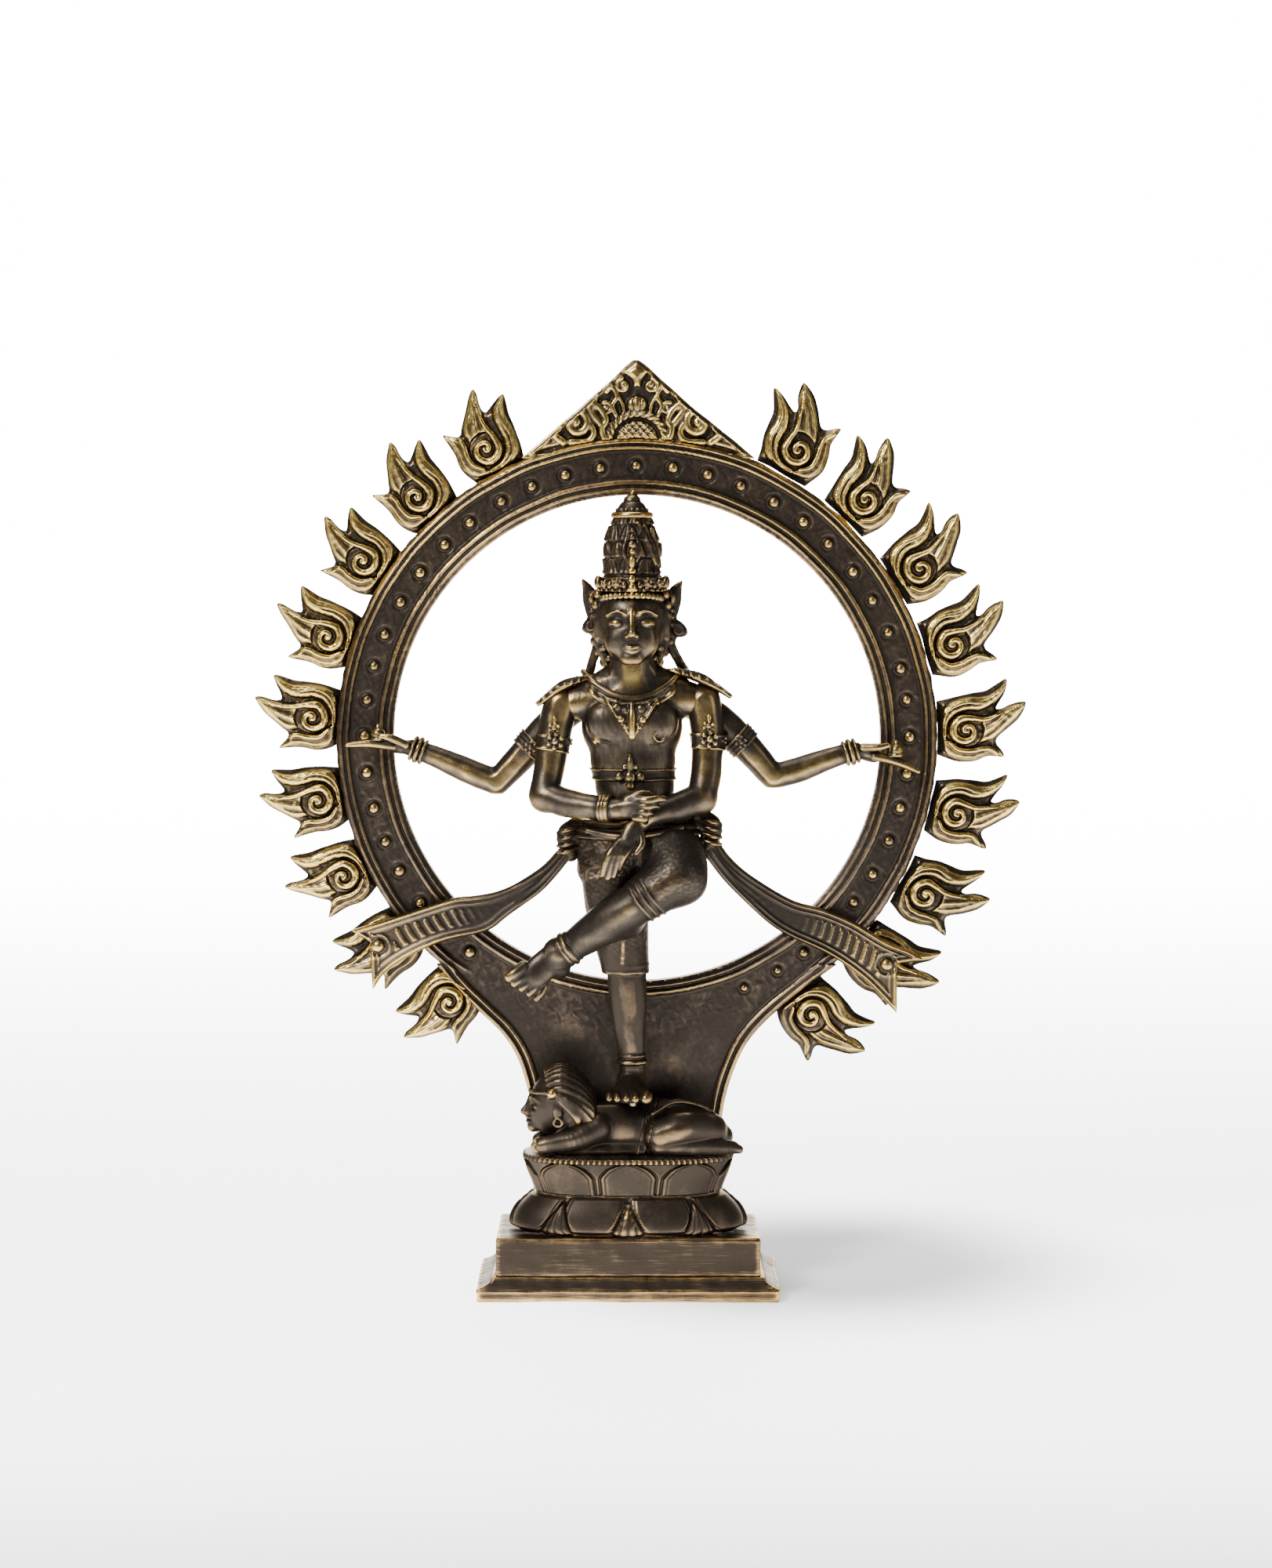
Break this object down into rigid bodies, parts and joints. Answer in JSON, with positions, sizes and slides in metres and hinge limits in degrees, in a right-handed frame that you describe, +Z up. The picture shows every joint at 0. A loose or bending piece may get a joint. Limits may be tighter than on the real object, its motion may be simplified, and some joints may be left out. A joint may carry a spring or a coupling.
{
  "type": "statue",
  "caption": "Cast brass statue of a dancing figure with a raised leg, standing on a dwarf inside an upright ring of flames with a triangular crest, on a lotus base over an oblong plinth",
  "frame": {"origin": "On the surface that the statue stands on, in the middle of the statue's width and depth, below the ring of flames", "axes": "+Z up towards the crest, +X to the viewer's right when the figure faces the viewer, +Y from the front of the statue to its back"},
  "size_m": [0.3162, 0.0619, 0.3801],
  "materials": {
    "dark_patina_brass": "cast brass under a dark brown-black patina, satin, fine casting grain",
    "rubbed_brass": "dark patina worn through on the raised places, satin",
    "bright_brass": "warm gold brass rubbed bright on the relief, dark in the grooves",
    "steel_fixings": "plain plated steel"
  },
  "bodies": {
    "root": {"arch_ring": "dark_patina_brass", "arch_screw_left": "steel_fixings", "arch_screw_right": "steel_fixings", "armlet_front_left": "bright_brass", "armlet_front_right": "bright_brass", "armlet_rear_left": "bright_brass", "armlet_rear_right": "bright_brass", "chest_belt": "rubbed_brass", "crown": "dark_patina_brass", "crown_finial": "bright_brass", "dwarf_body": "dark_patina_brass", "dwarf_head": "dark_patina_brass", "ear_ornament_left": "rubbed_brass", "ear_ornament_right": "rubbed_brass", "figure_peg": "steel_fixings", "flame_left_1": "bright_brass", "flame_left_2": "bright_brass", "flame_left_3": "bright_brass", "flame_left_4": "bright_brass", "flame_left_5": "bright_brass", "flame_left_6": "bright_brass", "flame_left_7": "bright_brass", "flame_left_8": "bright_brass", "flame_left_9": "bright_brass", "flame_right_1": "bright_brass", "flame_right_2": "bright_brass", "flame_right_3": "bright_brass", "flame_right_4": "bright_brass", "flame_right_5": "bright_brass", "flame_right_6": "bright_brass", "flame_right_7": "bright_brass", "flame_right_8": "bright_brass", "flame_right_9": "bright_brass", "front_left_arm": "rubbed_brass", "front_right_arm": "rubbed_brass", "head": "rubbed_brass", "hip_cloth": "dark_patina_brass", "hip_knot_left": "dark_patina_brass", "hip_knot_right": "dark_patina_brass", "hip_sash": "dark_patina_brass", "lotus_lower": "dark_patina_brass", "lotus_upper": "dark_patina_brass", "necklace": "bright_brass", "pediment": "bright_brass", "peg_nut": "steel_fixings", "plinth_block": "dark_patina_brass", "plinth_foot": "rubbed_brass", "raised_leg": "rubbed_brass", "rear_left_arm": "dark_patina_brass", "rear_right_arm": "dark_patina_brass", "scarf_left": "bright_brass", "scarf_right": "bright_brass", "shoulder_leaf_left": "bright_brass", "shoulder_leaf_right": "bright_brass", "standing_leg": "dark_patina_brass", "torso": "dark_patina_brass"}
  },
  "joints": []
}
